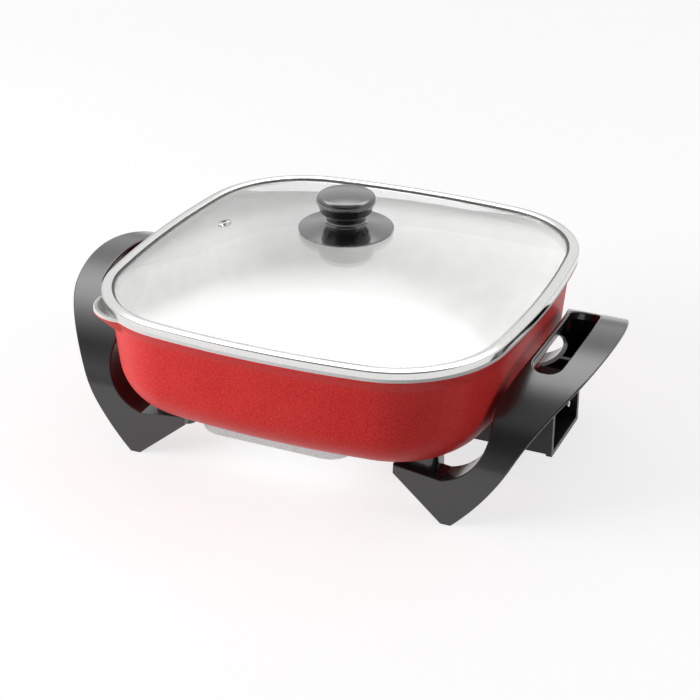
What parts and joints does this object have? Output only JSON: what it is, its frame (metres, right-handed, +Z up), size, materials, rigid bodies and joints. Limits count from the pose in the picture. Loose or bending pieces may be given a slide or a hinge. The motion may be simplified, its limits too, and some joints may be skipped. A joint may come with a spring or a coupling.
{
  "type": "electric skillet",
  "caption": "Square electric skillet with a loose domed glass lid, arched handles that are also its legs, a pouring lip and an inlet for a plug-in thermostat.",
  "frame": {"origin": "on the table, under the middle of the pan", "axes": "+Z up, +X to the handle over the power inlet, -Y the front"},
  "size_m": [0.3994, 0.3, 0.1797],
  "materials": {
    "pan_enamel": "grainy red enamel outside, smooth white ceramic inside",
    "handle_black": "satin black moulding",
    "guard_black": "satin black moulding",
    "knob_black": "glossy black moulding",
    "base_aluminium": "cast, plain",
    "well_aluminium": "drawn tube",
    "element_sheath": "dull heat-tinted sheath",
    "pin_metal": "nickel plated",
    "insulator_ceramic": "glazed ceramic",
    "screw_steel": "zinc plated",
    "lid_glass": "clear tempered glass",
    "rim_steel": "polished stainless steel",
    "seal_rubber": "silicone rubber",
    "insert_brass": "turned"
  },
  "bodies": {
    "base": {"pan_body": "pan_enamel", "handle_right": "handle_black", "handle_left": "handle_black", "probe_guard": "guard_black", "heater_base": "base_aluminium", "sensor_well": "well_aluminium", "heating_element": "element_sheath", "terminal_pin_front": "pin_metal", "terminal_pin_rear": "pin_metal", "pin_insulators": "insulator_ceramic", "handle_right_screws": "screw_steel", "handle_left_screws": "screw_steel", "handle_washers": "screw_steel", "base_screws": "screw_steel", "guard_screws": "screw_steel"},
    "lid": {"lid_glass": "lid_glass", "lid_rim": "rim_steel", "vent_eyelet": "rim_steel", "knob_gasket": "seal_rubber", "knob_plate": "knob_black", "lid_knob": "knob_black", "knob_insert": "insert_brass", "knob_seal": "seal_rubber", "knob_washer": "screw_steel", "knob_screw": "screw_steel"}
  },
  "joints": [
    {"name": "lid_lift", "type": "slide", "parent": "base", "child": "lid", "axis": [0, 0, 1], "range_m": [0, 0.15]}
  ]
}
